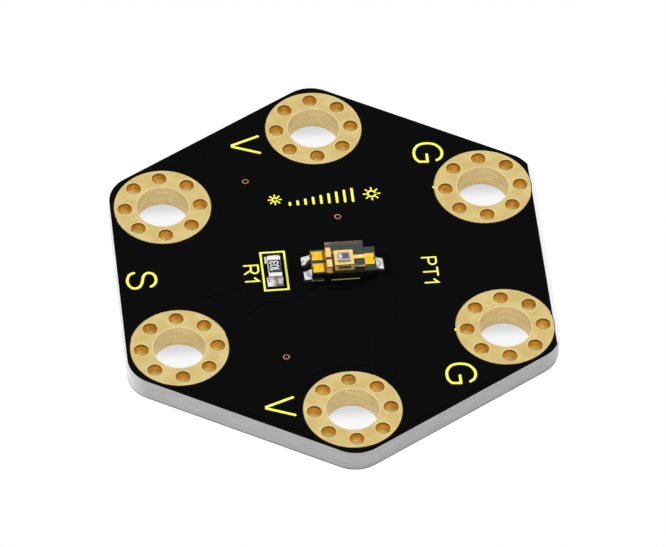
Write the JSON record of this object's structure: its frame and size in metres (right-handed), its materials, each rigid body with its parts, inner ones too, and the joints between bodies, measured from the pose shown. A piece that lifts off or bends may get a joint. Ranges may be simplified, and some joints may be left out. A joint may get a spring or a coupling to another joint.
{
  "type": "light sensor module",
  "caption": "Small six-cornered black circuit board with a gold ring terminal at each corner, a clear-topped light sensor and a chip resistor, for sewn or bolted circuits.",
  "frame": {"origin": "middle of the board's underside", "axes": "+X the way the main print reads, +Y up the print towards the upper supply ring, +Z out of the face that carries the parts"},
  "size_m": [0.0264, 0.0298, 0.0027],
  "materials": {
    "laminate": "matt glass-fibre board with milled edges",
    "mask": "black, smooth and glossy",
    "foil": "copper, under the mask",
    "print": "yellow ink",
    "ring_gold": "pale gold, finely grained",
    "via_copper": "dull copper",
    "carrier": "dark green-grey board",
    "clear_top": "clear, slightly smoky plastic",
    "lead_gold": "gold",
    "chip": "polished, grey-violet",
    "solder": "bright solder",
    "resistor_ceramic": "matt white",
    "resistor_film": "dark",
    "resistor_glaze": "black glaze",
    "resistor_ends": "tinned"
  },
  "bodies": {
    "root": {"board_core": "laminate", "top_mask": "mask", "bottom_mask": "mask", "ground_foil_top": "foil", "signal_foil_top": "foil", "supply_foil_top": "foil", "ground_foil_bottom_left": "foil", "ground_foil_bottom_right": "foil", "supply_foil_bottom": "foil", "resistor_outline": "print", "sensor_line_upper": "print", "sensor_line_lower": "print", "supply_ring_upper": "ring_gold", "ground_ring_upper": "ring_gold", "ground_ring_lower": "ring_gold", "supply_ring_lower": "ring_gold", "signal_ring_lower": "ring_gold", "signal_ring_upper": "ring_gold", "via_upper_left": "via_copper", "via_middle": "via_copper", "via_lower_left": "via_copper", "sensor_carrier": "carrier", "sensor_moulding": "clear_top", "sensor_lead_upper": "lead_gold", "sensor_lead_lower": "lead_gold", "sensor_lead_right": "lead_gold", "bond_wire": "lead_gold", "sensor_chip": "chip", "sensor_solder_upper": "solder", "sensor_solder_lower": "solder", "sensor_solder_right": "solder", "resistor_solder_upper": "solder", "resistor_solder_lower": "solder", "resistor_body": "resistor_ceramic", "resistor_film": "resistor_film", "resistor_glaze": "resistor_glaze", "resistor_end_upper": "resistor_ends", "resistor_end_lower": "resistor_ends"}
  },
  "joints": []
}
